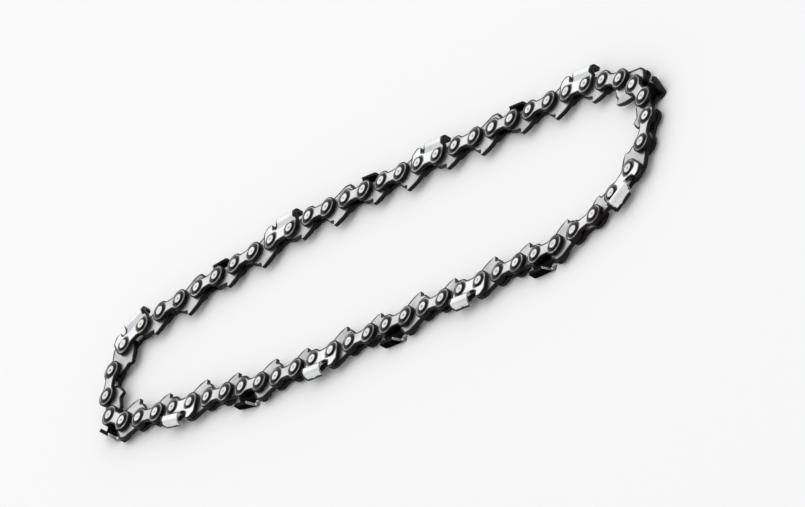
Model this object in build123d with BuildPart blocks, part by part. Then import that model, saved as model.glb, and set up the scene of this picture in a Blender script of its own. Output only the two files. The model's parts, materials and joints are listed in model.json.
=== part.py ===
from build123d import *

import os
from math import asin, cos, degrees, radians, sin, tan

# A closed loop of saw chain, lying on its side with its rivets upright.
# Drive links run in the middle plane, and pairs of side plates join them, each pair held by two
# rivets. Every second pair carries a cutter, left and right hand in turn. Lengths are millimetres.

# Chain
pitch = 9.525  # rivet to rivet
drive_thickness = 1.27  # gauge of the groove that the drive links run in
strap_thickness = 1.2
side_clearance = 0.08  # between a drive link and the plates beside it

# The loop: slopes of the links in degrees, out from the wide end and in to the tight end
wide_end_slopes = (65, 45, 32, 16, 12, 2)
tight_end_slopes = (12, 30, 65)
straight_links = 14  # in each strand
taper_links = 8  # in each strand, where it draws in towards the tight end

# Rivets
shank_radius = 1.55
shank_clearance = 0.06
head_radius = 2.3
head_height = 0.45
shank_facets = 5
head_facets = 8

# Side plates
strap_end_radius = 3.6  # round each rivet
strap_waist = 4.4
strap_end_facets = 5

# Drive links
drive_end = 2.8  # past each rivet, hidden between the side plates
drive_shoulder = 2.6  # from the rivet line to the outer edge over the rivets
drive_waist = 2.3  # from the rivet line to the dip in the outer edge
heel_depth = 3.0  # from the rivet line to where the tang leaves the link's ends
plain_tang_depth = 6.9
plain_tang_tip = 5.8  # behind the leading rivet
bumper_tang_depth = 8.0
bumper_tang_tip = 4.6
tang_hook = 1.7  # how far the tip reaches below the shelf ahead of it
tang_bow = 0.9  # roundness of the tang's back
ramp_height = 6.2  # of the bumper, from the rivet line
ramp_foot = 3.5  # height at which the ramp starts
ramp_length = 7.6
tang_facets = 3

# Cutters
cutter_height = 6.6  # from the rivet line to the cutting corner
gauge_setting = 0.4  # how far the depth gauge stays below the cutting corner
cutter_reach = 3.05  # from the middle plane to the flank
top_plate_thickness = 1.1
top_plate_overhang = 0.7  # past the middle plane
top_plate_front = 3.1  # behind the leading rivet
top_plate_length = 9.8
top_plate_angle = 30  # of the cutting edge, in plan
relief_angle = 3  # the top plate falls away behind its edge
gullet_height = 3.6
flank_foot = 2.6  # where the flank starts to lean out


def loop_slopes():
    """Slopes of one strand's links, end to end; even links are side plates and odd ones drive links.

    Each kind of link climbs at the wide end exactly as much as it falls along the taper and the
    tight end, so the loop also closes when all the drive links turn and the side plates don't.
    """
    ends_in = [-slope for slope in tight_end_slopes]
    slopes = [90, *wide_end_slopes, *[0] * straight_links, *[None] * taper_links, *ends_in, -90]
    for kind in (0, 1):
        climb = sum(sin(radians(slope)) for slope in slopes[kind::2] if slope is not None)
        taper = -degrees(asin(climb / slopes[kind::2].count(None)))
        slopes[kind::2] = [taper if slope is None else slope for slope in slopes[kind::2]]
    return slopes


def link_places():
    """A plane for each link: origin on its leading rivet, X to its trailing rivet and Y outwards."""
    slopes = loop_slopes()
    headings = [180 + slope for slope in slopes] + [-slope for slope in slopes[-2:0:-1]]
    x = pitch * sum(cos(radians(slope)) for slope in slopes) / 2
    y = pitch / 2
    places = []
    for heading in headings:
        along = (cos(radians(heading)), sin(radians(heading)), 0)
        places.append(Plane(origin=(x, y, cutter_reach), x_dir=along, z_dir=(0, 0, 1)))
        x += pitch * along[0]
        y += pitch * along[1]
    return places


def bowed(start, end, bow, facets):
    """Points of a shallow curve from start to end that bows out by bow to its right."""
    run = Vector(*end) - Vector(*start)
    out = Vector(run.Y, -run.X).normalized()
    steps = [step / facets for step in range(facets + 1)]
    return [Vector(*start) + run * t + out * (4 * bow * t * (1 - t)) for t in steps]


def rounded_end(centre, towards):
    """Points round a strap's end, from waist to waist, facing towards degrees."""
    neck = degrees(asin(strap_waist / 2 / strap_end_radius))
    step = (360 - 2 * neck) / strap_end_facets
    angles = [towards + 180 + neck + step * i for i in range(strap_end_facets + 1)]
    return [
        (centre + strap_end_radius * cos(radians(a)), strap_end_radius * sin(radians(a)))
        for a in angles
    ]


def strap_outline():
    """A tie strap: two round ends drawn in to a waist."""
    return rounded_end(0, 180) + rounded_end(pitch, 0)


def tang(depth, tip):
    """The inner edge of a drive link: heel, shelf, hooked tip and rounded back."""
    shelf = depth - tang_hook
    heel = (-drive_end / 2, -heel_depth)
    shelf_front = (heel[0] + shelf - heel_depth, -shelf + tang_hook / 4)
    back = bowed((tip, -depth), (pitch + drive_end, -heel_depth), tang_bow, tang_facets)
    return [heel, shelf_front, (tip - tang_hook / 2, -shelf), *back]


def plain_outline():
    """A drive link whose outer edge dips between its rivets."""
    outer = [
        (pitch + drive_end, drive_shoulder),
        (pitch / 2, drive_waist),
        (-drive_end, drive_shoulder),
    ]
    return tang(plain_tang_depth, plain_tang_tip) + outer


def bumper_outline():
    """A drive link whose outer edge ramps up towards the depth gauge behind it."""
    outer = [
        (pitch + drive_end, ramp_foot),
        (pitch, ramp_height),
        (pitch - drive_end, ramp_height),
        (pitch - ramp_length, ramp_foot),
        (-drive_end, drive_shoulder),
    ]
    return tang(bumper_tang_depth, bumper_tang_tip) + outer


def cutter_outline():
    """A cutter's own plate: depth gauge over the leading rivet, gullet, and heel under the top plate."""
    gauge_height = cutter_height - gauge_setting
    rear = top_plate_front + top_plate_length
    front_edge = -strap_end_radius * 1.15
    leading, trailing = rounded_end(0, 180), rounded_end(pitch, 0)
    return [
        (rear, gullet_height),
        (top_plate_front, gullet_height),
        (gullet_height / 4, gullet_height),
        (0, gauge_height - gauge_setting),
        (front_edge / 2, gauge_height),
        (front_edge, gauge_height - strap_waist / 2),
        *leading[3:],
        *trailing[:3],
        (rear, -gauge_setting),
    ]


def drive_link(place, outline):
    """One drive link with a hole for each rivet."""
    hole_radius = shank_radius + shank_clearance
    with BuildPart() as link:
        with BuildSketch(place.offset(-drive_thickness / 2)):
            with BuildLine():
                Polyline(*outline, close=True)
            make_face()
            with Locations((0, 0), (pitch, 0)):
                RegularPolygon(hole_radius, shank_facets, major_radius=False, mode=Mode.SUBTRACT)
        extrude(amount=drive_thickness)
    return link.part


def side_pair(place, hand):
    """Two side plates with their rivets headed over: hand 1 or -1 makes the upper or lower one a cutter."""
    inner_face = drive_thickness / 2 + side_clearance
    outer_face = inner_face + strap_thickness
    top = folded_top(place, hand, inner_face, outer_face) if hand else []
    with BuildPart() as pair:
        add(top)
        for side in (1, -1):
            with BuildSketch(place.offset(side * inner_face)):
                with BuildLine():
                    Polyline(*(cutter_outline() if side == hand else strap_outline()), close=True)
                make_face()
            extrude(amount=side * strap_thickness)
            with BuildSketch(place.offset(side * outer_face)):
                with Locations((0, 0), (pitch, 0)):
                    RegularPolygon(head_radius, head_facets)
            extrude(amount=side * head_height)
        with BuildSketch(place.offset(-inner_face)):
            with Locations((0, 0), (pitch, 0)):
                RegularPolygon(shank_radius, shank_facets)
        extrude(amount=2 * inner_face)
    return pair.part


def folded_top(place, hand, inner_face, outer_face):
    """A cutter's leaning flank and the top plate folded over the chain, ground off at its front."""
    under = cutter_height - top_plate_thickness
    wall = outer_face - inner_face
    section = [
        (flank_foot, hand * inner_face),
        (flank_foot, hand * outer_face),
        (gullet_height + wall / 2, hand * cutter_reach),
        (cutter_height, hand * cutter_reach),
        (cutter_height, -hand * top_plate_overhang),
        (under, -hand * top_plate_overhang),
        (under, hand * (cutter_reach - wall)),
        (gullet_height + wall, hand * (cutter_reach - wall)),
        (gullet_height, hand * inner_face),
    ]
    front = place.from_local_coords((top_plate_front, 0, 0))
    corner = place.from_local_coords((top_plate_front, 0, hand * cutter_reach))
    fall = place.x_dir - place.y_dir * tan(radians(relief_angle))
    lean = radians(top_plate_angle)
    ground = place.x_dir * cos(lean) + place.z_dir * (hand * sin(lean))
    with BuildPart() as top:
        with BuildSketch(Plane(origin=front, x_dir=place.y_dir, z_dir=place.x_dir)):
            with BuildLine():
                Polyline(*section, close=True)
            make_face()
        extrude(amount=top_plate_length / cos(radians(relief_angle)), dir=fall.normalized())
        split(bisect_by=Plane(origin=corner, z_dir=ground), keep=Keep.TOP)
    return top.part


# The links in turn from the middle of the wide end, against the way that the chain runs
places = link_places()
kinds = ("tie_strap_pair", "bumper_link", "left_cutter", "drive_link")
links, names, made = [], [], {}
for number, place in enumerate(places):
    kind = kinds[number % 4]
    if kind == "left_cutter" and number % 8 == 6:
        kind = "right_cutter"
    if kind == "tie_strap_pair":
        link = side_pair(place, 0)
    elif kind == "bumper_link":
        link = drive_link(place, bumper_outline())
    elif kind == "drive_link":
        link = drive_link(place, plain_outline())
    else:
        link = side_pair(place, 1 if kind == "left_cutter" else -1)
    made[kind] = made.get(kind, 0) + 1
    links.append(link)
    names.append(f"{kind}_{made[kind]:02}")

# The five links at the turn of each end stay together, like pieces in one group
groups = {}
for end, apex in (("wide_end", 0), ("tight_end", len(places) // 2)):
    groups[f"{end}_drive_links"] = (apex - 1, apex + 1)
    groups[f"{end}_cutters"] = (apex - 2, apex + 2)
    groups[f"{end}_tie_straps"] = (apex,)

os.makedirs("parts", exist_ok=True)
grouped = {number % len(places) for numbers in groups.values() for number in numbers}
for name, numbers in groups.items():
    with BuildPart() as turn:
        for number in numbers:
            add(links[number])
    turn.part.label = name
    export_step(turn.part, f"parts/{name}.step")
for number, (name, link) in enumerate(zip(names, links)):
    if number not in grouped:
        link.label = name
        export_step(link, f"parts/{name}.step")
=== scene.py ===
import json
from math import asin, cos, degrees, pi, radians, sin, sqrt, tan

import bmesh
import bpy
from mathutils import Matrix, Vector


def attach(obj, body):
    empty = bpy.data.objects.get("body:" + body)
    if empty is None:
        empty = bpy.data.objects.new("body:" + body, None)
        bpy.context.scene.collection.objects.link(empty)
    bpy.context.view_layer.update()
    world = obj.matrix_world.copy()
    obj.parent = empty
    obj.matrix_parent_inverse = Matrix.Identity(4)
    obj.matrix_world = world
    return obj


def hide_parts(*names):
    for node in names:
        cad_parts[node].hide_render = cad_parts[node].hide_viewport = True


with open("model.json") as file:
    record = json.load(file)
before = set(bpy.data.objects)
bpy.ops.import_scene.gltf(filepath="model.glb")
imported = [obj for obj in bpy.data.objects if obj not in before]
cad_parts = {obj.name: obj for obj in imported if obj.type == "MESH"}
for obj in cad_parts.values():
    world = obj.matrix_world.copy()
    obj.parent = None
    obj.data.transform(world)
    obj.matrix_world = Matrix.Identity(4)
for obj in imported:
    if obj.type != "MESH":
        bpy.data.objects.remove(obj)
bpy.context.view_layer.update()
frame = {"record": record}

# The loop: a steel saw chain of 64 links, laid on its side and closed by its last rivet.
# Drive links and pairs of side plates take turns, and every second pair carries a cutter.
# Lengths of a link are millimetres, along the link, outwards, and up along its rivets.
MM = 0.001
PITCH = 9.525  # rivet to rivet
MID_PLANE = 3.05  # of the drive links, above the plane that the loop lies on
WIDE_END_SLOPES = (65, 45, 32, 16, 12, 2)  # degrees, link by link from the end's middle link
TIGHT_END_SLOPES = (12, 30, 65)  # up to the end's middle link
STRAIGHT_LINKS = 14
TAPER_LINKS = 8
LINK_KINDS = (
    "tie_strap_pair", "bumper_link", "left_cutter", "drive_link",
    "tie_strap_pair", "bumper_link", "right_cutter", "drive_link",
)
END_GROUPS = {
    "tie_strap_pair": "tie_straps",
    "bumper_link": "drive_links",
    "drive_link": "drive_links",
    "left_cutter": "cutters",
    "right_cutter": "cutters",
}
END_LINKS = 2  # on each side of an end's middle link


def strand_slopes():
    """Slopes of one strand's links; the taper's slopes bring each kind of link back to its start."""
    tight = [-slope for slope in TIGHT_END_SLOPES]
    slopes = [90, *WIDE_END_SLOPES, *[0] * STRAIGHT_LINKS, *[None] * TAPER_LINKS, *tight, -90]
    for kind in (0, 1):
        climb = sum(sin(radians(slope)) for slope in slopes[kind::2] if slope is not None)
        taper = -degrees(asin(climb / slopes[kind::2].count(None)))
        slopes[kind::2] = [taper if slope is None else slope for slope in slopes[kind::2]]
    return slopes


def link_frames():
    """Each link's axes: origin on its leading rivet, X to the trailing rivet and Y outwards."""
    slopes = strand_slopes()
    headings = [180 + slope for slope in slopes] + [-slope for slope in slopes[-2:0:-1]]
    x = PITCH * sum(cos(radians(slope)) for slope in slopes) / 2
    y = PITCH / 2
    frames = []
    for heading in headings:
        place = Matrix.Translation((x * MM, y * MM, MID_PLANE * MM))
        frames.append(place @ Matrix.Rotation(radians(heading), 4, "Z") @ Matrix.Scale(MM, 4))
        x += PITCH * cos(radians(heading))
        y += PITCH * sin(radians(heading))
    return frames


bodies = frame["record"]["behaviour"]["bodies"]
body_of_node = {node: body for body, nodes in bodies.items() for node in nodes}
links = {kind: [] for kind in END_GROUPS}
half_loop = len(strand_slopes()) - 1
for number, axes in enumerate(link_frames()):
    kind = LINK_KINDS[number % len(LINK_KINDS)]
    node = f"{kind}_{len(links[kind]) + 1:02}"
    for end, apex in (("wide_end", 0), ("tight_end", half_loop)):
        steps = abs(number - apex)
        if min(steps, 2 * half_loop - steps) <= END_LINKS:
            node = f"{end}_{END_GROUPS[kind]}"
    links[kind].append((axes, node))

# Drive links: stamped from flat hardened steel, tumbled bright, their cut edges left dark with oil.
# The hooked tang runs in the bar's groove and gathers oil, and the two round holes turn on the
# rivets. Every second one is a bumper link with a ramp that guards the depth gauge behind it.
DRIVE_THICKNESS = 1.27
DRIVE_END = 2.8  # past each rivet
DRIVE_SHOULDER = 2.6  # out from the rivet line
SHOULDER_ROUND = 2.2
DRIVE_WAIST = 2.3
WAIST_ROUND = 50
HEEL_DEPTH = 3.0  # in from the rivet line
HEEL_ROUND = 0.9
SHELF_ROUND = 1.2
TANG_HOOK = 1.7
HOOK_ROUND = 0.7
TIP_ROUND = 0.45
TANG_BOW = 0.9
BOW_STEPS = 9
BACK_ROUND = 1.4
PLAIN_TANG = (6.9, 5.8)  # depth, and the tip's place behind the leading rivet
BUMPER_TANG = (8.0, 4.6)
RAMP_HEIGHT = 6.2
RAMP_FOOT = 3.5
RAMP_LENGTH = 7.6
RAMP_ROUNDS = (1.6, 2.0, 3.0, 6.0)  # from the link's trailing end to the ramp's foot
HOLE_RADIUS = 1.61
EDGE_BREAK = 0.1  # the small bevel that tumbling leaves
DRIVE_BAND = 1.2  # how far the dark of an edge reaches onto the face
HOLE_BAND = 0.15
RIM_MARK, BREAK_MARK = 1.0, 0.8  # how a point at the cut edge and one at the bevel's end are marked
ARC_STEP = 12  # degrees
LEAST_BEND = 0.02  # radians, under which a corner needs no rounding
SIDE_SHARE = 0.46  # of a side that the rounding of one corner may take
STRAIGHT_TURN = 0.05  # radians, up to which an edge counts as straight
BEND_SHARE = 0.7  # of a bend's radius that a band may take
BAND_GROWTH = 0.4  # how fast a band may widen along its edge
LEAST_MITER = 0.5  # so that a corner moves in by twice its band at most
LEVEL_GAP = 0.3  # least distance of an added point from an outline's own points
LEVEL_SNAP = 0.003  # within which a point lies on a level
LEAST_RUN = 1e-6  # under which a side runs along a level
SHARP_EDGE = 28  # degrees


def arc(centre, radius, start, end):
    """Points round a centre from one angle to another, in degrees."""
    count = max(2, round(abs(end - start) / ARC_STEP))
    angles = [radians(start + (end - start) * step / count) for step in range(count + 1)]
    return [(centre[0] + radius * cos(a), centre[1] + radius * sin(a)) for a in angles]


def rounded(corners):
    """An outline whose corners, given as (along, out, radius), are rounded off."""
    points = []
    for index, (x, y, radius) in enumerate(corners):
        corner = Vector((x, y))
        before = Vector(corners[index - 1][:2]) - corner
        after = Vector(corners[(index + 1) % len(corners)][:2]) - corner
        bend = pi - before.angle(after)
        if not radius or bend < LEAST_BEND:
            points.append((x, y))
            continue
        cut = min(radius * tan(bend / 2), SIDE_SHARE * before.length, SIDE_SHARE * after.length)
        start = corner + before.normalized() * cut
        finish = corner + after.normalized() * cut
        count = max(2, round(degrees(bend) / ARC_STEP))
        middle = (before.normalized() + after.normalized()).normalized()
        centre = corner + middle * (cut / tan(bend / 2) / cos(bend / 2))
        first, last = start - centre, finish - centre
        for step in range(count + 1):
            share = step / count
            spoke = first * sin((1 - share) * bend) + last * sin(share * bend)
            points.append(tuple(centre + spoke / sin(bend)))
    return points


def bowed(start, end, bow):
    """Points of a shallow curve that bows out to the right of its run, as corners with no radius."""
    run = Vector(end) - Vector(start)
    out = Vector((run.y, -run.x)).normalized()
    shares = [step / BOW_STEPS for step in range(1, BOW_STEPS)]
    return [(*(Vector(start) + run * t + out * (4 * bow * t * (1 - t))), 0) for t in shares]


def inset(loop, amounts):
    """The loop drawn in to its left by its points' amounts, and by less towards tight bends."""
    count = len(loop)
    arriving = [Vector(loop[index]) - Vector(loop[index - 1]) for index in range(count)]
    leaving = arriving[1:] + arriving[:1]
    turns = [-before.angle_signed(after) for before, after in zip(arriving, leaving)]
    reach = []
    for before, after, turn, amount in zip(arriving, leaving, turns, amounts):
        if turn > STRAIGHT_TURN:
            amount = min(amount, BEND_SHARE * (before.length + after.length) / 2 / turn)
        reach.append(amount)
    for _ in range(2):  # the second time round carries it past the loop's first point
        for index in range(count):
            reach[index] = min(reach[index], reach[index - 1] + BAND_GROWTH * arriving[index].length)
        for index in reversed(range(count)):
            reach[index - 1] = min(reach[index - 1], reach[index] + BAND_GROWTH * arriving[index].length)
    moved = []
    for index, point in enumerate(loop):
        heading = (arriving[index].normalized() + leaving[index].normalized()).normalized()
        miter = reach[index] / max(LEAST_MITER, cos(turns[index] / 2))
        moved.append(Vector(point) + Vector((-heading.y, heading.x)) * miter)
    return moved


def band_room(outline, holes, band):
    """The width of an edge's dark band at each point, which stops short of the dark round the holes."""
    spots = [Vector(spot) for hole in holes for spot in hole]
    gaps = []
    for index, point in enumerate(outline):
        start = Vector(outline[index - 1])
        run = Vector(point) - start
        shares = [min(1, max(0, (spot - start).dot(run) / run.length_squared)) for spot in spots]
        gaps.append(min((start + run * share - spot).length for share, spot in zip(shares, spots)))
    nearest = [min(before, after) for before, after in zip(gaps, gaps[1:] + gaps[:1])]
    return [min(band, gap - HOLE_BAND - EDGE_BREAK) for gap in nearest]


def with_levels(loop, levels):
    """The loop with a point added wherever it crosses a level, clear of its own points."""
    out = []
    for index, start in enumerate(loop):
        run = Vector(loop[(index + 1) % len(loop)]) - Vector(start)
        shares = []
        for axis, values in enumerate(levels):
            if abs(run[axis]) > LEAST_RUN:
                shares += [(value - start[axis]) / run[axis] for value in values]
        clear = LEVEL_GAP / run.length
        shares = [0, *sorted(share for share in shares if clear < share < 1 - clear)]
        out += [tuple(Vector(start) + run * share) for share in shares]
    return out


def flat_plate(outline, holes, band, levels):
    """A plate's flat shape, with rings along its edges, cut along the levels; and its edge marks."""
    flat = bmesh.new()
    edge_mark = flat.verts.layers.float.new("edge")
    outline = with_levels(outline, levels)
    widths = [band_room(outline, holes, band), *[[HOLE_BAND] * len(hole) for hole in holes]]
    inner_edges = []
    for loop, width in zip((outline, *holes), widths):
        broken = inset(loop, [EDGE_BREAK] * len(loop))
        rings = []
        for shape, mark in ((loop, RIM_MARK), (broken, BREAK_MARK), (inset(loop, width), 0)):
            rings.append([flat.verts.new((*point, 0)) for point in shape])
            for vert in rings[-1]:
                vert[edge_mark] = mark
        for outer, inner in zip(rings, rings[1:]):
            for index in range(len(loop)):
                flat.faces.new((outer[index - 1], outer[index], inner[index], inner[index - 1]))
        inner_edges += [flat.edges.get((inner[index - 1], inner[index])) for index in range(len(loop))]
    bmesh.ops.triangle_fill(flat, edges=inner_edges, use_beauty=True)
    for axis, values in enumerate(levels):
        normal = Vector((axis == 0, axis == 1, 0))
        for value in values:
            geometry = flat.verts[:] + flat.edges[:] + flat.faces[:]
            bmesh.ops.bisect_plane(
                flat, geom=geometry, dist=LEVEL_SNAP, plane_co=normal * value, plane_no=normal)
    bmesh.ops.triangulate(flat, faces=flat.faces[:])
    flat.verts.index_update()
    return flat, edge_mark


def stamped(outline, holes, thickness, place, band, levels=((), ())):
    """A plate with broken edges as (points, faces, marks); place sets a point (along, out, depth).

    Each point is marked with where it was on the flat plate and how near it is to an edge.
    """
    half = thickness / 2
    flat, edge_mark = flat_plate(outline, holes, band, levels)
    points, faces, marks = [], [], []

    def add(vert, depth):
        points.append(place(vert.co.x, vert.co.y, depth))
        marks.append(((vert.co.x, vert.co.y, depth), vert[edge_mark]))
        return len(points) - 1

    skins = []
    for side in (1, -1):
        skin = []
        for vert in flat.verts:
            drop = EDGE_BREAK * max(0, vert[edge_mark] - BREAK_MARK) / (RIM_MARK - BREAK_MARK)
            skin.append(add(vert, side * (half - drop)))
        faces += [[skin[vert.index] for vert in face.verts] for face in flat.faces]
        skins.append(skin)
    rim = {vert.index: add(vert, 0) for vert in flat.verts if vert.is_boundary}
    for edge in flat.edges:
        if edge.is_boundary:
            start, end = (vert.index for vert in edge.verts)
            for upper, lower in ((skins[0], rim), (rim, skins[1])):
                faces.append([upper[start], upper[end], lower[end], lower[start]])
    flat.free()
    return points, faces, marks


def rivet_holes(radius):
    """Both rivet holes of a plate, drawn clockwise."""
    return [arc((x, 0), radius, 360, 0)[:-1] for x in (0, PITCH)]


def tang(depth, tip):
    """The inner edge of a drive link: heel, shelf, hooked tip and rounded back."""
    shelf = depth - TANG_HOOK
    heel = (-DRIVE_END / 2, -HEEL_DEPTH, HEEL_ROUND)
    shelf_front = (heel[0] + shelf - HEEL_DEPTH, -shelf + TANG_HOOK / 4, SHELF_ROUND)
    hook = [(tip - TANG_HOOK / 2, -shelf, HOOK_ROUND), (tip, -depth, TIP_ROUND)]
    end = (PITCH + DRIVE_END, -HEEL_DEPTH)
    return [heel, shelf_front, *hook, *bowed((tip, -depth), end, TANG_BOW), (*end, BACK_ROUND)]


def plain_outline():
    """A drive link whose outer edge dips between its rivets."""
    outer = [
        (PITCH + DRIVE_END, DRIVE_SHOULDER, SHOULDER_ROUND), (PITCH / 2, DRIVE_WAIST, WAIST_ROUND),
        (-DRIVE_END, DRIVE_SHOULDER, SHOULDER_ROUND),
    ]
    return rounded([*tang(*PLAIN_TANG), *outer])


def bumper_outline():
    """A drive link whose outer edge ramps up over its trailing rivet."""
    along = (PITCH + DRIVE_END, PITCH, PITCH - DRIVE_END, PITCH - RAMP_LENGTH)
    out = (RAMP_FOOT, RAMP_HEIGHT, RAMP_HEIGHT, RAMP_FOOT)
    shoulder = (-DRIVE_END, DRIVE_SHOULDER, SHOULDER_ROUND)
    return rounded([*tang(*BUMPER_TANG), *zip(along, out, RAMP_ROUNDS), shoulder])


def in_middle_plane(along, out, depth):
    """A drive link's plate stays flat, between the side plates."""
    return along, out, depth


def link_piece(name, shells, axes, materials):
    """One mesh from shells of (points, faces, marks, material), set in a link's axes."""
    mesh = bpy.data.meshes.new(name)
    points, faces, marks, slots = [], [], [], []
    for shell_points, shell_faces, shell_marks, slot in shells:
        faces += [[len(points) + corner for corner in face] for face in shell_faces]
        points += [axes @ Vector(point) for point in shell_points]
        marks += shell_marks
        slots += [slot] * len(shell_faces)
    mesh.from_pydata(points, [], faces)
    mesh.polygons.foreach_set("material_index", slots)
    on_plate = mesh.attributes.new("on_plate", "FLOAT_VECTOR", "POINT")
    on_plate.data.foreach_set("vector", [value for spot, _ in marks for value in spot])
    edge = mesh.attributes.new("edge", "FLOAT", "POINT")
    edge.data.foreach_set("value", [near for _, near in marks])
    work = bmesh.new()
    work.from_mesh(mesh)
    bmesh.ops.recalc_face_normals(work, faces=work.faces[:])
    work.to_mesh(mesh)
    work.free()
    mesh.shade_smooth()
    mesh.set_sharp_from_angle(angle=radians(SHARP_EDGE))
    for material in materials:
        mesh.materials.append(material)
    piece = bpy.data.objects.new(name, mesh)
    bpy.context.scene.collection.objects.link(piece)
    return piece


STEEL = (0.6, 0.6, 0.61, 1)
OIL_AND_SHADE = (0.018, 0.016, 0.015, 1)
NO_TOP = 99.0  # higher than any plate
OIL_PATCHES = 420  # a noise scale, as CLOUDS, SCRATCHES and PITS are
EDGE_RAGGED = 0.5  # how much the patches shift the oil's limit
EDGE_LIMITS = (0.38, 0.8)  # of the edge mark, from clean to oiled
RING_RADIUS = 2.55  # of the dark ring round a rivet head: oil, and painted shade where the head meets the plate
RING_RAGGED = 0.9
RING_LIMITS = (-0.35, 0.3)  # past the ring's radius, from dark to clean
RING_TOP_FADE = 0.3
BORDER_LIMITS = (0.78, 1.02)  # of border and patches together, from clean to oiled
CLOUDS = 150
CLOUD_LIMITS = (0.3, 0.7)
SCRATCHES = 190
SCRATCH_ANGLES = (22, 74, 128)  # degrees
SCRATCH_LENGTH = 26  # in widths of a scratch
SCRATCH_LIMITS = (0.60, 0.70)
SCRATCH_DEPTH = 0.6  # in depths of a pit
SCRATCH_ROUGHNESS = 0.12
PITS = 3200
BUMP_STRENGTH = 0.25
BUMP_HEIGHT = 0.02


def new_group(name, inputs, outputs):
    """An empty shader group of plain numbers: inputs with their first values, and outputs."""
    group = bpy.data.node_groups.new(name, "ShaderNodeTree")
    for socket, value in inputs.items():
        made = group.interface.new_socket(socket, in_out="INPUT", socket_type="NodeSocketFloat")
        made.default_value = value
    for socket in outputs:
        group.interface.new_socket(socket, in_out="OUTPUT", socket_type="NodeSocketFloat")
    return group, group.nodes.new("NodeGroupInput"), group.nodes.new("NodeGroupOutput")


def feed(tree, socket, term):
    """Sets a socket to a number or a colour, or links it to another node's socket."""
    if isinstance(term, (int, float, tuple)):
        socket.default_value = term
    else:
        tree.links.new(term, socket)


def math_node(tree, operation, first, second):
    """A Math node; each term is a socket or a number."""
    node = tree.nodes.new("ShaderNodeMath")
    node.operation = operation
    feed(tree, node.inputs[0], first)
    feed(tree, node.inputs[1], second)
    return node.outputs["Value"]


def mix_node(tree, share, first, second, blend="MIX"):
    """A colour Mix node; each term is a socket, a number or a colour."""
    node = tree.nodes.new("ShaderNodeMix")
    node.data_type = "RGBA"
    node.blend_type = blend
    for name, term in (("Factor", share), ("A", first), ("B", second)):
        feed(tree, node.inputs[name], term)
    return node.outputs["Result"]


def ramp_node(tree, value, low, high, to_low=0.0, to_high=1.0):
    """A smooth step from to_low to to_high, as a value goes from low to high."""
    node = tree.nodes.new("ShaderNodeMapRange")
    node.interpolation_type = "SMOOTHSTEP"
    limits = (("From Min", low), ("From Max", high), ("To Min", to_low), ("To Max", to_high))
    for name, term in (("Value", value), *limits):
        feed(tree, node.inputs[name], term)
    return node.outputs["Result"]


def noise_node(tree, vector, scale, detail=3.0):
    """Noise over a surface; a scale of 1000 has spots of about a millimetre."""
    node = tree.nodes.new("ShaderNodeTexNoise")
    node.inputs["Scale"].default_value = scale
    node.inputs["Detail"].default_value = detail
    tree.links.new(vector, node.inputs["Vector"])
    return node.outputs["Fac"]


def mark_node(tree, name):
    """A mark that the plates carry on their points."""
    node = tree.nodes.new("ShaderNodeAttribute")
    node.attribute_name = name
    return node


def vector_node(tree, operation, vector, term):
    """A Vector Math node of a socket and a fixed vector."""
    node = tree.nodes.new("ShaderNodeVectorMath")
    node.operation = operation
    tree.links.new(vector, node.inputs[0])
    node.inputs[1].default_value = term
    return node


def oil_and_shade_group():
    """Oil and dark scale along cut edges and in a material's border, and a ring round each rivet head that
    is oil and painted shade.
    """
    group, given, result = new_group(
        "oil_and_shade_marks",
        {"Edge Dark": 1.0, "Edge Reach": 0.0, "Ring Dark": 0.9, "Ring Top": NO_TOP, "Border": 0.0},
        ("Oil And Shade",))
    where = group.nodes.new("ShaderNodeTexCoord").outputs["Object"]
    patches = noise_node(group, where, OIL_PATCHES)
    edge = mark_node(group, "edge").outputs["Fac"]
    ragged = math_node(group, "ADD", edge, math_node(group, "MULTIPLY", patches, EDGE_RAGGED))
    ragged = math_node(group, "ADD", ragged, given.outputs["Edge Reach"])
    rim = math_node(group, "MULTIPLY", ramp_node(group, ragged, *EDGE_LIMITS), given.outputs["Edge Dark"])
    spot = mark_node(group, "on_plate").outputs["Vector"]
    flat = vector_node(group, "MULTIPLY", spot, (1, 1, 0)).outputs["Vector"]
    near = [vector_node(group, "DISTANCE", flat, (x, 0, 0)).outputs["Value"] for x in (0, PITCH)]
    closest = math_node(group, "MINIMUM", *near)
    spread = math_node(group, "ADD", RING_RADIUS, math_node(group, "MULTIPLY", patches, RING_RAGGED))
    # Oil and painted shade: a dark ring round each rivet head.
    ring = ramp_node(group, math_node(group, "SUBTRACT", closest, spread), *RING_LIMITS, 1, 0)
    ring = math_node(group, "MULTIPLY", ring, given.outputs["Ring Dark"])
    height = group.nodes.new("ShaderNodeSeparateXYZ")
    group.links.new(spot, height.inputs[0])
    over = math_node(group, "SUBTRACT", height.outputs["Y"], given.outputs["Ring Top"])
    ring = math_node(group, "MULTIPLY", ring, ramp_node(group, over, -RING_TOP_FADE, 0.0, 1, 0))
    border = ramp_node(group, math_node(group, "ADD", given.outputs["Border"], patches), *BORDER_LIMITS)
    oil_and_shade = math_node(group, "MAXIMUM", math_node(group, "MAXIMUM", rim, ring), border)
    group.links.new(oil_and_shade, result.inputs["Oil And Shade"])
    return group


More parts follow.
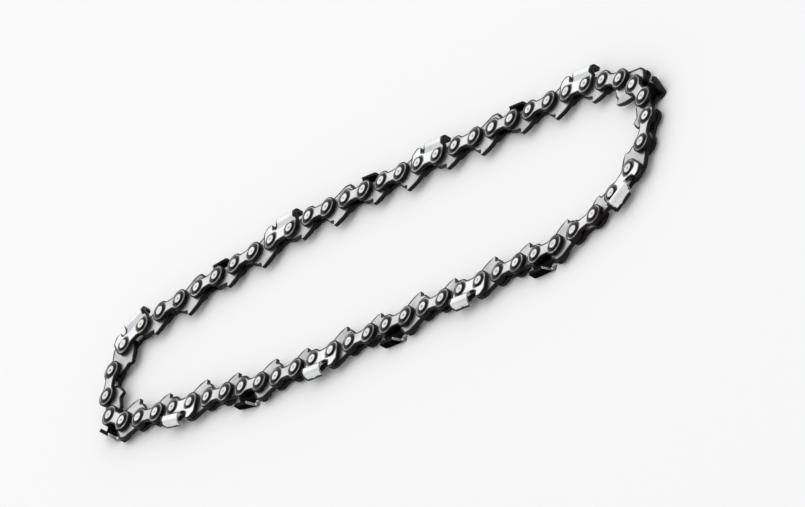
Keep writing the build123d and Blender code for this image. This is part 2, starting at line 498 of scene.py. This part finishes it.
def tumbled_group():
    """Steel as it leaves the tumbling drum: soft cloudy tone, crossing scratches and fine pits."""
    group, given, result = new_group("tumbled_steel", {"Contrast": 0.2}, ("Tone", "Scratches", "Height"))
    where = group.nodes.new("ShaderNodeTexCoord").outputs["Object"]
    cloud = noise_node(group, where, CLOUDS)
    low = math_node(group, "SUBTRACT", 1.0, given.outputs["Contrast"])
    group.links.new(ramp_node(group, cloud, *CLOUD_LIMITS, low, 1.0), result.inputs["Tone"])
    scratches = []
    for angle in SCRATCH_ANGLES:
        turned = group.nodes.new("ShaderNodeVectorRotate")
        turned.rotation_type = "Z_AXIS"
        turned.inputs["Angle"].default_value = radians(angle)
        drawn = group.nodes.new("ShaderNodeMapping")
        drawn.inputs["Scale"].default_value = (1, SCRATCH_LENGTH, 1)
        group.links.new(where, turned.inputs["Vector"])
        group.links.new(turned.outputs[0], drawn.inputs["Vector"])
        lines = noise_node(group, drawn.outputs[0], SCRATCHES, detail=2.0)
        scratches.append(ramp_node(group, lines, *SCRATCH_LIMITS))
    scratch = math_node(group, "MAXIMUM", math_node(group, "MAXIMUM", *scratches[:2]), scratches[2])
    group.links.new(scratch, result.inputs["Scratches"])
    pits = noise_node(group, where, PITS, detail=2.0)
    height = math_node(group, "SUBTRACT", pits, math_node(group, "MULTIPLY", scratch, SCRATCH_DEPTH))
    group.links.new(height, result.inputs["Height"])
    return group


oil_and_shade_marks = oil_and_shade_group()
tumbled_steel = tumbled_group()


def group_node(tree, group):
    """A shader group placed in a material."""
    node = tree.nodes.new("ShaderNodeGroup")
    node.name = group.name
    node.node_tree = group
    return node


def steel_finish(name, bright, dark, edge=(1.0, 0.0), ring=(0.9, NO_TOP), contrast=0.2, gloss=(0.3, 0.5)):
    """Tumbled metal that turns dark with oil at its edges, and with oil and painted shade round its rivets.

    edge is how dark an edge is and how far that reaches in, ring how dark it is round a rivet and how
    far out that goes, and gloss the roughness of clean and of oiled skin.
    """
    material = bpy.data.materials.new(name)
    material.use_nodes = True
    tree = material.node_tree
    skin = tree.nodes["Principled BSDF"]
    skin.inputs["Metallic"].default_value = 1.0
    oil_and_shade = group_node(tree, oil_and_shade_marks)
    oil_and_shade.inputs["Edge Dark"].default_value = edge[0]
    oil_and_shade.inputs["Edge Reach"].default_value = edge[1]
    oil_and_shade.inputs["Ring Dark"].default_value = ring[0]
    oil_and_shade.inputs["Ring Top"].default_value = ring[1]
    grain = group_node(tree, tumbled_steel)
    grain.inputs["Contrast"].default_value = contrast
    tone = mix_node(tree, 1.0, bright, grain.outputs["Tone"], "MULTIPLY")
    colour = mix_node(tree, oil_and_shade.outputs["Oil And Shade"], tone, dark)
    tree.links.new(colour, skin.inputs["Base Color"])
    scratched = math_node(tree, "MULTIPLY", grain.outputs["Scratches"], SCRATCH_ROUGHNESS)
    clean = math_node(tree, "ADD", gloss[0], scratched)
    to_oiled = math_node(tree, "SUBTRACT", gloss[1], clean)
    oiled = math_node(tree, "MULTIPLY", to_oiled, oil_and_shade.outputs["Oil And Shade"])
    tree.links.new(math_node(tree, "ADD", clean, oiled), skin.inputs["Roughness"])
    bump = tree.nodes.new("ShaderNodeBump")
    bump.inputs["Strength"].default_value = BUMP_STRENGTH
    bump.inputs["Distance"].default_value = BUMP_HEIGHT * MM
    tree.links.new(grain.outputs["Height"], bump.inputs["Height"])
    tree.links.new(bump.outputs[0], skin.inputs["Normal"])
    return material


drive_steel = steel_finish("drive_link_steel", STEEL, OIL_AND_SHADE, contrast=0.3, gloss=(0.36, 0.5))
drive_shells = []
for outline in (plain_outline(), bumper_outline()):
    shell = stamped(outline, rivet_holes(HOLE_RADIUS), DRIVE_THICKNESS, in_middle_plane, DRIVE_BAND)
    drive_shells.append([(*shell, 0)])


def place_links(kind, name, shells, materials):
    """The links of one kind, each riding on its own body."""
    for count, (axes, node) in enumerate(links[kind], start=1):
        piece = link_piece(f"{name}_{count:02}", shells, axes, materials)
        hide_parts(node)
        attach(piece, body_of_node[node])


place_links("drive_link", "stamped_drive_link", drive_shells[0], [drive_steel])
place_links("bumper_link", "stamped_bumper_link", drive_shells[1], [drive_steel])

# Tie straps: two stamped steel plates, one on each side of the drive links, with two round ends
# drawn in to a waist. Two hardened rivets go through both, and their ends are spun over cold into
# low heads with a small dimple, so that the pair can't come apart.
STRAP_THICKNESS = 1.2
SIDE_CLEARANCE = 0.08
STRAP_END = 3.6
STRAP_WAIST = 2.2  # half of it
WAIST_FILLET = 2.0
INNER_FACE = DRIVE_THICKNESS / 2 + SIDE_CLEARANCE
OUTER_FACE = INNER_FACE + STRAP_THICKNESS
STRAP_MIDDLE = INNER_FACE + STRAP_THICKNESS / 2
STRAP_HOLE = 1.5
STRAP_BAND = 0.85
SHANK_RADIUS = 1.55
HEAD_RADIUS = 2.3
HEAD_HEIGHT = 0.45
HEAD_PROFILE = (  # radius, depth below the crown, and how near it counts to an oily edge
    (0.45, 0.16, 0.25),
    (0.85, 0.02, 0),
    (1.3, 0, 0.1),
    (1.75, 0.1, 0.7),
    (2.1, 0.23, 1),
    (HEAD_RADIUS, 0.39, 1),
    (HEAD_RADIUS, HEAD_HEIGHT, 1),
)
DIMPLE_DEPTH = 0.2
DIMPLE_OIL = 0.4
RIVET_SIDES = 24
FILLET_OUT = STRAP_WAIST + WAIST_FILLET
FILLET_ALONG = sqrt((STRAP_END + WAIST_FILLET) ** 2 - FILLET_OUT ** 2)
NECK = degrees(asin(FILLET_OUT / (STRAP_END + WAIST_FILLET)))  # from a strap's axis to where its end starts
STRAP_STEEL = (0.68, 0.68, 0.69, 1)
RIVET_STEEL = (0.74, 0.735, 0.73, 1)


def lower_waist():
    """The strap's inner edge between its two round ends."""
    leading = arc((FILLET_ALONG, -FILLET_OUT), WAIST_FILLET, 180 - NECK, 90)
    trailing = arc((PITCH - FILLET_ALONG, -FILLET_OUT), WAIST_FILLET, 90, NECK)
    return leading + trailing


def strap_outline():
    """Two round ends drawn in to a waist."""
    upper = [(along, -out) for along, out in reversed(lower_waist())]
    leading = arc((0, 0), STRAP_END, NECK, 360 - NECK)
    trailing = arc((PITCH, 0), STRAP_END, NECK - 180, 180 - NECK)
    return trailing[:-1] + upper[:-1] + leading[:-1] + lower_waist()[:-1]


def strap_on(side):
    """A strap beside the drive links, above them for side 1 and below for -1."""
    def place(along, out, depth):
        return along, out, side * (STRAP_MIDDLE + depth)
    return stamped(strap_outline(), rivet_holes(STRAP_HOLE), STRAP_THICKNESS, place, STRAP_BAND)


def rivet(along):
    """A rivet through both side plates as (points, faces, marks), dark round its head's rim."""
    crown = OUTER_FACE + HEAD_HEIGHT
    upper = [(radius, crown - drop, oily) for radius, drop, oily in HEAD_PROFILE]
    upper += [(STRAP_HOLE, OUTER_FACE, 1), (STRAP_HOLE, INNER_FACE, 1), (SHANK_RADIUS, INNER_FACE, 1)]
    profile = upper + [(radius, -height, oily) for radius, height, oily in reversed(upper)]
    points, faces, marks = [], [], []
    for radius, height, oily in profile:
        for side in range(RIVET_SIDES):
            angle = 2 * pi * side / RIVET_SIDES
            points.append((along + radius * cos(angle), radius * sin(angle), height))
            marks.append((points[-1], oily))
    last_row = len(profile) - 1
    for row in range(last_row):
        for side in range(RIVET_SIDES):
            here, there = row * RIVET_SIDES + side, row * RIVET_SIDES + (side + 1) % RIVET_SIDES
            faces.append([here, there, there + RIVET_SIDES, here + RIVET_SIDES])
    for height, row in ((crown - DIMPLE_DEPTH, 0), (DIMPLE_DEPTH - crown, last_row)):
        points.append((along, 0, height))
        marks.append((points[-1], DIMPLE_OIL))
        for side in range(RIVET_SIDES):
            start = row * RIVET_SIDES
            faces.append([len(points) - 1, start + side, start + (side + 1) % RIVET_SIDES])
    return points, faces, marks


strap_steel = steel_finish("tie_strap_steel", STRAP_STEEL, OIL_AND_SHADE, ring=(0.95, NO_TOP), contrast=0.25)
rivet_steel = steel_finish("spun_rivet_steel", RIVET_STEEL, OIL_AND_SHADE, ring=(0, NO_TOP), gloss=(0.26, 0.45))
rivets = [(*rivet(0), 1), (*rivet(PITCH), 1)]
strap_pair = [(*strap_on(1), 0), (*strap_on(-1), 0), *rivets]
place_links("tie_strap_pair", "riveted_tie_straps", strap_pair, [strap_steel, rivet_steel])

# Cutters: one sheet of tool steel each, blanked, folded over the chain and riveted like a strap.
# The depth gauge stands over the leading rivet, and behind the gullet the flank leans out and turns
# into the top plate. The front edge is filed hollow from inside. Left and right hands take turns, and both
# are painted dark inside the fold as painted shade.
# The right hands' sheets are painted near black all over as painted shade.
CUTTER_HEIGHT = 6.6
CUTTER_REACH = MID_PLANE  # from the drive links' middle to the flank's outer face
GAUGE_SETTING = 0.4  # how far the depth gauge stands below the top plate
GAUGE_FRONT = 4.14  # ahead of the leading rivet
GAUGE_FOOT_ANGLE = 187.5  # degrees round that rivet, where the gauge's front meets the round end
GAUGE_BACK_ROUND = 0.5
GAUGE_TOP_ROUND = 1.6
GAUGE_FRONT_ROUND = 1.5
GULLET_HEIGHT = 3.6
GULLET_ROUND = 1.0
TOP_OVERHANG = 0.7  # past the drive links' middle
TOP_FRONT = 3.1  # behind the leading rivet
TOP_LENGTH = 9.8
TOP_REAR = TOP_FRONT + TOP_LENGTH
TOP_ANGLE = 30  # degrees that the front edge slants back
POINT_ROUND = 0.3
REAR_ROUND = 0.7
RELIEF = 3  # degrees that the top falls away behind its front edge
RELIEF_FOOT = 2  # height from which the sheet follows that fall
FLANK_FOOT, FLANK_TOP = 2.6, 4.2  # heights between which the flank leans out
FLANK_BEND, TOP_BEND = 0.9, 0.8  # radii of the sheet's middle
FOLD_START, FOLD_END = 1.0, 2.8  # along the link, where the flat gauge turns into the flank
FOLD_COLUMNS = (FOLD_START, 1.6, 2.2, FOLD_END, 4.1, 5.2, 6.4, 8.0)
FILED_BACK = 0.95  # how far the file reaches back on the inside
FILED_LENGTH = 3.0  # over which that fades out behind the front edge
FILED_FROM, FILED_FULL = 3.8, 4.8  # up the sheet
BEHIND_GAUGE = 1.8  # along the link, from where the file is at work
CUTTER_BAND = 1.05
TOP_BORDER = 1.9  # how far oil reaches in from the top plate's free and rear edges
HALF_SHEET = STRAP_THICKNESS / 2
TOP_MIDDLE = CUTTER_HEIGHT - HALF_SHEET
FLANK_MIDDLE = CUTTER_REACH - HALF_SHEET
LEAN_RUN = sqrt((FLANK_TOP - FLANK_FOOT) ** 2 + (FLANK_MIDDLE - STRAP_MIDDLE) ** 2)
LEAN = asin((FLANK_MIDDLE - STRAP_MIDDLE) / LEAN_RUN)
LEAN_CUT = FLANK_BEND * tan(LEAN / 2)
FOLDS = (  # lengths of the sheet from the rivet line to the top plate's free edge, and their bends
    (FLANK_FOOT - LEAN_CUT, 0),
    (FLANK_BEND * LEAN, 1 / FLANK_BEND),
    (LEAN_RUN - 2 * LEAN_CUT, 0),
    (FLANK_BEND * LEAN, -1 / FLANK_BEND),
    (TOP_MIDDLE - FLANK_TOP - LEAN_CUT - TOP_BEND, 0),
    (TOP_BEND * pi / 2, -1 / TOP_BEND),
    (FLANK_MIDDLE - TOP_BEND + TOP_OVERHANG, 0),
)
TOP_FOLD = 5  # which of them turns the flank into the top plate
SHEET_TOP = sum(length for length, _ in FOLDS)
CORNER = sum(length for length, _ in FOLDS[:TOP_FOLD]) + FOLDS[TOP_FOLD][0] / 2
EDGE_RUN = (CUTTER_REACH + TOP_OVERHANG) * tan(radians(TOP_ANGLE))
CHROME = (0.78, 0.79, 0.8, 1)
# Painted shade: the dark colours inside the cutters' folds.
SHADE_UNDER_CHROME = (0.07, 0.068, 0.066, 1)
# Painted shade: the near black of the right-hand cutters' sheets, with lighter worn edges.
SHADE_BLACK = (0.012, 0.012, 0.013, 1)
SHADE_UNDER_BLACK = (0.012, 0.012, 0.012, 1)
WORN_EDGE_BLACK = (0.03, 0.03, 0.031, 1)
BLACK_CUTTER_SHEEN = (0.4, 0.4, 0.4, 1)  # what it mirrors at a low angle
FILED_STEEL = (0.78, 0.78, 0.79, 1)


def smooth(low, high, value):
    """A smooth step from 0 at low to 1 at high."""
    share = min(1, max(0, (value - low) / (high - low)))
    return share * share * (3 - 2 * share)


def folded(run):
    """Height, side and heading of the sheet's middle, a run up from the rivet line."""
    height, side, heading = min(run, 0), STRAP_MIDDLE, 0
    left = max(run, 0)
    for length, bend in FOLDS:
        part = min(left, length)
        if bend:
            height += (sin(heading + bend * part) - sin(heading)) / bend
            side += (cos(heading) - cos(heading + bend * part)) / bend
        else:
            height += cos(heading) * part
            side += sin(heading) * part
        heading += bend * part
        left -= part
    return height, side, heading


def cutter_place(hand):
    """Folds a flat cutter blank, files its front edge hollow and lets the top fall away behind it."""
    def place(along, run, depth):
        front = TOP_FRONT + EDGE_RUN * max(0, run - CORNER) / (SHEET_TOP - CORNER)
        filed = smooth(FILED_FROM, FILED_FULL, run) * (1 - smooth(0, FILED_LENGTH, along - front))
        inside = (HALF_SHEET - depth) / STRAP_THICKNESS
        moved = along + FILED_BACK * filed * inside * (2 - inside) * (along > BEHIND_GAUGE)
        height, side, heading = folded(run)
        share = smooth(FOLD_START, FOLD_END, along)
        height = run + (height - run) * share
        side = STRAP_MIDDLE + (side - STRAP_MIDDLE) * share
        heading *= share
        fall = max(0, moved - TOP_FRONT) * tan(radians(RELIEF)) * smooth(RELIEF_FOOT, FLANK_TOP, run)
        return moved, height - sin(heading) * depth - fall, hand * (side + cos(heading) * depth)
    return place


def cutter_outline():
    """The flat blank of a cutter: round ends below, depth gauge, gullet, and the sheet for the fold."""
    gauge = CUTTER_HEIGHT - GAUGE_SETTING
    rear_angle = -degrees(asin(sqrt(1 - ((TOP_REAR - PITCH) / STRAP_END) ** 2)))
    trailing = arc((PITCH, 0), STRAP_END, NECK - 180, rear_angle)
    leading = arc((0, 0), STRAP_END, GAUGE_FOOT_ANGLE, 360 - NECK)
    upper = [
        (TOP_REAR, SHEET_TOP, REAR_ROUND), (TOP_FRONT + EDGE_RUN, SHEET_TOP, POINT_ROUND),
        (TOP_FRONT, CORNER, 0),
        (TOP_FRONT, GULLET_HEIGHT, GULLET_ROUND), (GULLET_HEIGHT / 4, GULLET_HEIGHT, GULLET_ROUND),
        (0, gauge - GAUGE_SETTING, GAUGE_BACK_ROUND), (-GAUGE_FRONT / 2, gauge, GAUGE_TOP_ROUND),
        (-GAUGE_FRONT, gauge - STRAP_WAIST, GAUGE_FRONT_ROUND),
    ]
    lower = leading[:-1] + lower_waist()[:-1] + trailing
    return rounded([*upper, *[(*point, 0) for point in lower]])


def fold_levels():
    """Where the blank is cut into columns and rows, so that it can bend."""
    rows, run = [], 0
    for length, bend in FOLDS[:-1]:
        count = max(1, round(degrees(abs(bend) * length) / ARC_STEP))
        rows += [run + length * step / count for step in range(1, count + 1)]
        run += length
    return FOLD_COLUMNS, rows


def cutter_sheet(hand):
    """A cutter's plate, above the drive links for hand 1 and below for -1."""
    holes = rivet_holes(STRAP_HOLE)
    return stamped(cutter_outline(), holes, STRAP_THICKNESS, cutter_place(hand), CUTTER_BAND, fold_levels())


def filed_group():
    """A cutter's filed bevel, the inside of its fold where shade is painted, and the border of its top
    plate.
    """
    group, _, result = new_group("filed_edge", {}, ("Filed", "Inside", "Border"))
    spot = group.nodes.new("ShaderNodeSeparateXYZ")
    group.links.new(mark_node(group, "on_plate").outputs["Vector"], spot.inputs[0])
    along, run, depth = spot.outputs
    over_corner = math_node(group, "MAXIMUM", math_node(group, "SUBTRACT", run, CORNER), 0.0)
    slant = math_node(group, "MULTIPLY", over_corner, EDGE_RUN / (SHEET_TOP - CORNER))
    behind = math_node(group, "SUBTRACT", along, math_node(group, "ADD", slant, TOP_FRONT))
    at_front = math_node(group, "COMPARE", behind, 0.0)
    at_front.node.inputs[2].default_value = 2 * EDGE_BREAK  # how near counts as equal
    high = ramp_node(group, run, FILED_FROM, FILED_FULL)
    group.links.new(math_node(group, "MULTIPLY", at_front, high), result.inputs["Filed"])
    group.links.new(ramp_node(group, depth, -HALF_SHEET, 0.0, 1.0, 0.0), result.inputs["Inside"])
    from_free_edge = math_node(group, "SUBTRACT", SHEET_TOP, run)
    from_rear_edge = math_node(group, "SUBTRACT", TOP_REAR, along)
    nearest = math_node(group, "MINIMUM", from_free_edge, from_rear_edge)
    border = math_node(group, "SUBTRACT", 1.0, math_node(group, "DIVIDE", nearest, TOP_BORDER))
    on_top = ramp_node(group, run, FLANK_FOOT, FLANK_TOP)
    border = math_node(group, "MULTIPLY", math_node(group, "MAXIMUM", border, 0.0), on_top)
    group.links.new(border, result.inputs["Border"])
    return group


filed_edge = filed_group()


def cutter_finish(name, inside, bordered, **finish):
    """A cutter's coat: painted dark inside the fold as painted shade, bright where filed, with or without an
    oily border.
    """
    material = steel_finish(name, **finish)
    tree = material.node_tree
    skin = tree.nodes["Principled BSDF"]
    filed = group_node(tree, filed_edge)
    if bordered:
        tree.links.new(filed.outputs["Border"], tree.nodes[oil_and_shade_marks.name].inputs["Border"])
    coat = skin.inputs["Base Color"].links[0].from_socket
    # Painted shade: the inside of the fold takes the given dark colour.
    coat = mix_node(tree, filed.outputs["Inside"], coat, inside)
    tree.links.new(mix_node(tree, filed.outputs["Filed"], coat, FILED_STEEL), skin.inputs["Base Color"])
    return material


chrome = cutter_finish(
    "cutter_chrome", inside=SHADE_UNDER_CHROME, bordered=True, bright=CHROME, dark=OIL_AND_SHADE,
    ring=(0.9, FLANK_FOOT), contrast=0.12, gloss=(0.17, 0.4))
# Painted shade: the right-hand cutters' sheets are painted near black all over.
shaded_black = cutter_finish(
    "cutter_shaded_black", inside=SHADE_UNDER_BLACK, bordered=False, bright=SHADE_BLACK, dark=WORN_EDGE_BLACK,
    edge=(0.8, -0.4), ring=(0, NO_TOP), contrast=0.4, gloss=(0.34, 0.42))
shaded_black.node_tree.nodes["Principled BSDF"].inputs["Specular Tint"].default_value = BLACK_CUTTER_SHEEN
finishes = [strap_steel, rivet_steel]
left_hand = [(*cutter_sheet(1), 2), (*strap_on(-1), 0), *rivets]
right_hand = [(*cutter_sheet(-1), 2), (*strap_on(1), 0), *rivets]
place_links("left_cutter", "riveted_left_cutter", left_hand, [*finishes, chrome])
place_links("right_cutter", "riveted_right_cutter", right_hand, [*finishes, shaded_black])

# The stage: a wide pale floor that the loop lies on, under an even pale sky.
# One large soft lamp stands where the plates mirror it to the camera, and one hangs overhead.
# The camera is far off with a long lens, so that the loop has hardly any perspective.
FLOOR_SIZE = 6.0
FLOOR_COLOUR = (0.97, 0.97, 0.97, 1)
FLOOR_ROUGHNESS = 0.9
FLOOR_SPECULAR = 0.1
SKY_COLOUR = (1, 1, 1, 1)
SKY_STRENGTH = 0.86
LENS = 900  # millimetres
FAR_CLIP = 30
CAMERA_AZIMUTH, CAMERA_ELEVATION, CAMERA_ROLL = 56.131, 28.613, -60.972  # degrees
CAMERA_AIM = Vector((0.0143, -0.0024, MID_PLANE * MM))
CAMERA_DISTANCE = 6.4338

floor_mesh = bpy.data.meshes.new("floor")
half_floor = FLOOR_SIZE / 2
floor_corners = [(x * half_floor, y * half_floor, 0) for x, y in ((-1, -1), (1, -1), (1, 1), (-1, 1))]
floor_mesh.from_pydata(floor_corners, [], [(0, 1, 2, 3)])
floor = bpy.data.objects.new("floor", floor_mesh)
bpy.context.scene.collection.objects.link(floor)
floor_paint = bpy.data.materials.new("pale_floor")
floor_paint.use_nodes = True
floor_skin = floor_paint.node_tree.nodes["Principled BSDF"]
floor_skin.inputs["Base Color"].default_value = FLOOR_COLOUR
floor_skin.inputs["Roughness"].default_value = FLOOR_ROUGHNESS
floor_skin.inputs["Specular IOR Level"].default_value = FLOOR_SPECULAR
floor_mesh.materials.append(floor_paint)

sky = bpy.data.worlds.new("pale_sky")
sky.use_nodes = True
sky_light = sky.node_tree.nodes["Background"]
sky_light.inputs["Color"].default_value = SKY_COLOUR
sky_light.inputs["Strength"].default_value = SKY_STRENGTH
bpy.context.scene.world = sky


def soft_lamp(name, direction, distance, size, watts):
    """A square lamp that faces the loop from a direction."""
    lamp = bpy.data.lights.new(name, "AREA")
    lamp.size = size
    lamp.energy = watts
    holder = bpy.data.objects.new(name, lamp)
    holder.location = Vector(direction).normalized() * distance
    holder.rotation_euler = Vector(direction).to_track_quat("Z", "Y").to_euler()
    bpy.context.scene.collection.objects.link(holder)


soft_lamp("mirror_soft_box", direction=(-0.727, 0.490, 0.479), distance=1.6, size=1.4, watts=2.4)
soft_lamp("overhead_soft_box", direction=(0.25, 0.2, 1), distance=1.8, size=1.6, watts=3.2)

azimuth, elevation, roll = (radians(a) for a in (CAMERA_AZIMUTH, CAMERA_ELEVATION, CAMERA_ROLL))
back = Vector((sin(azimuth) * cos(elevation), -cos(azimuth) * cos(elevation), sin(elevation)))
level = Vector((cos(azimuth), sin(azimuth), 0))
upright = back.cross(level)
right = level * cos(roll) + upright * sin(roll)
up = upright * cos(roll) - level * sin(roll)
camera = bpy.data.objects.new("camera", bpy.data.cameras.new("camera"))
camera.data.lens = LENS
camera.data.clip_end = FAR_CLIP
turn = Matrix((right, up, back)).transposed().to_4x4()
camera.matrix_world = Matrix.Translation(CAMERA_AIM + back * CAMERA_DISTANCE) @ turn
bpy.context.scene.collection.objects.link(camera)
bpy.context.scene.camera = camera
bpy.context.scene.view_settings.view_transform = "Standard"
